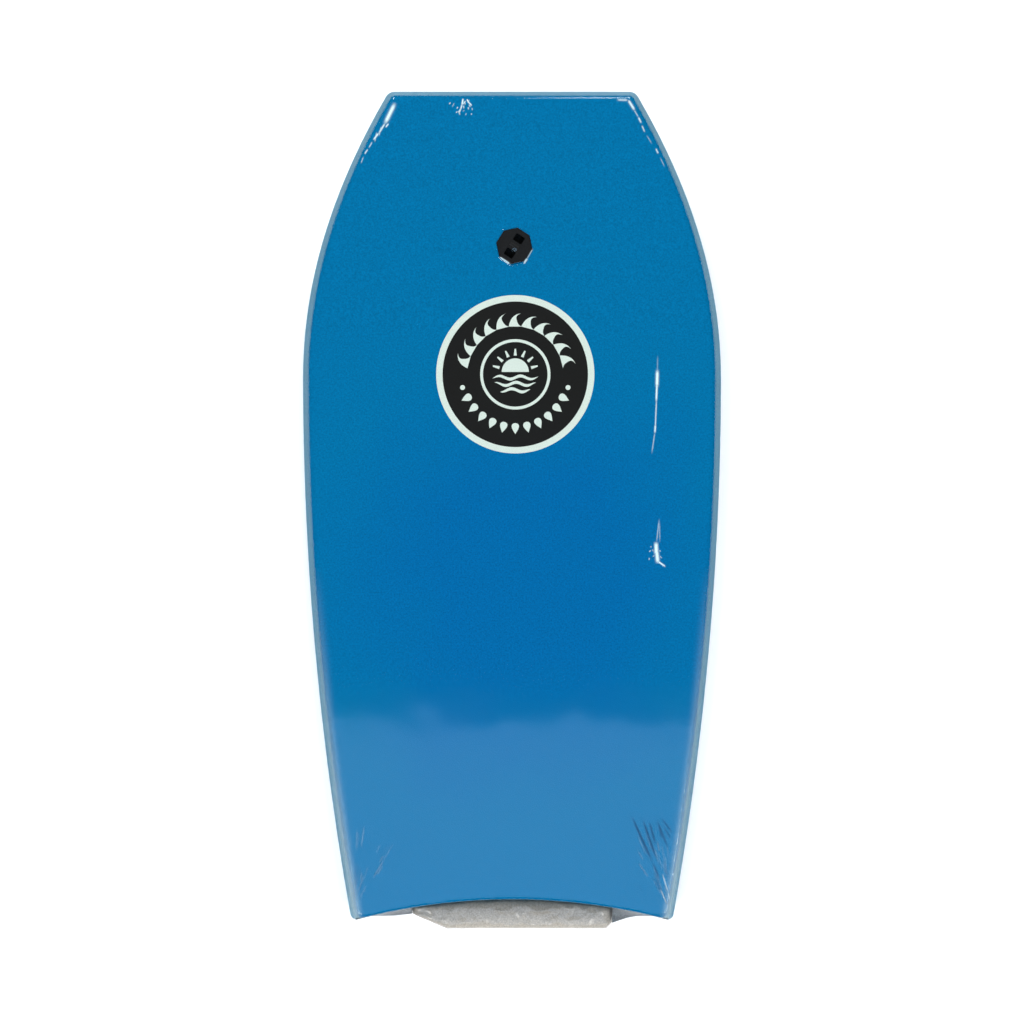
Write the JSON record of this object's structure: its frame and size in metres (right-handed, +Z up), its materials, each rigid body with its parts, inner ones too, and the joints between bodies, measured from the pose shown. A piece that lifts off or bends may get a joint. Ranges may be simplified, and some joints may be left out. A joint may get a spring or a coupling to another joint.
{
  "type": "bodyboard",
  "caption": "Foam bodyboard with crescent tail, flat nose, sloping rails, octagonal leash plug and round deck sticker, packed with its leash bag in the tail",
  "frame": {"origin": "under the middle of the board with its packed leash bag, on the surface the bottom rests on", "axes": "+X across the board to the rider's right, +Y towards the nose, +Z up out of the deck"},
  "size_m": [0.529, 1.0556, 0.079],
  "materials": {
    "deck_foam": "satin foam under clear film",
    "rail_foam": "matte foam under clear film",
    "core_foam": "matte beaded foam",
    "slick_sheet": "smooth gloss sheet",
    "plug_plastic": "moulded satin black",
    "sticker_print": "gloss printed vinyl",
    "bag_film": "frosted crinkled bag",
    "clear_film": "clear gloss shrink film"
  },
  "bodies": {
    "root": {"deck_skin": "deck_foam", "slick_bottom": "slick_sheet", "foam_core": "core_foam", "plug_deck_half": "plug_plastic", "plug_bottom_half": "plug_plastic", "deck_sticker": "sticker_print", "leash_bag": "bag_film", "lower_rail_left": "rail_foam", "lower_rail_right": "rail_foam", "lower_nose_strip": "rail_foam", "lower_tail_strip": "rail_foam", "upper_rail_left": "rail_foam", "upper_rail_right": "rail_foam", "upper_nose_strip": "rail_foam", "upper_tail_strip": "rail_foam"}
  },
  "joints": []
}
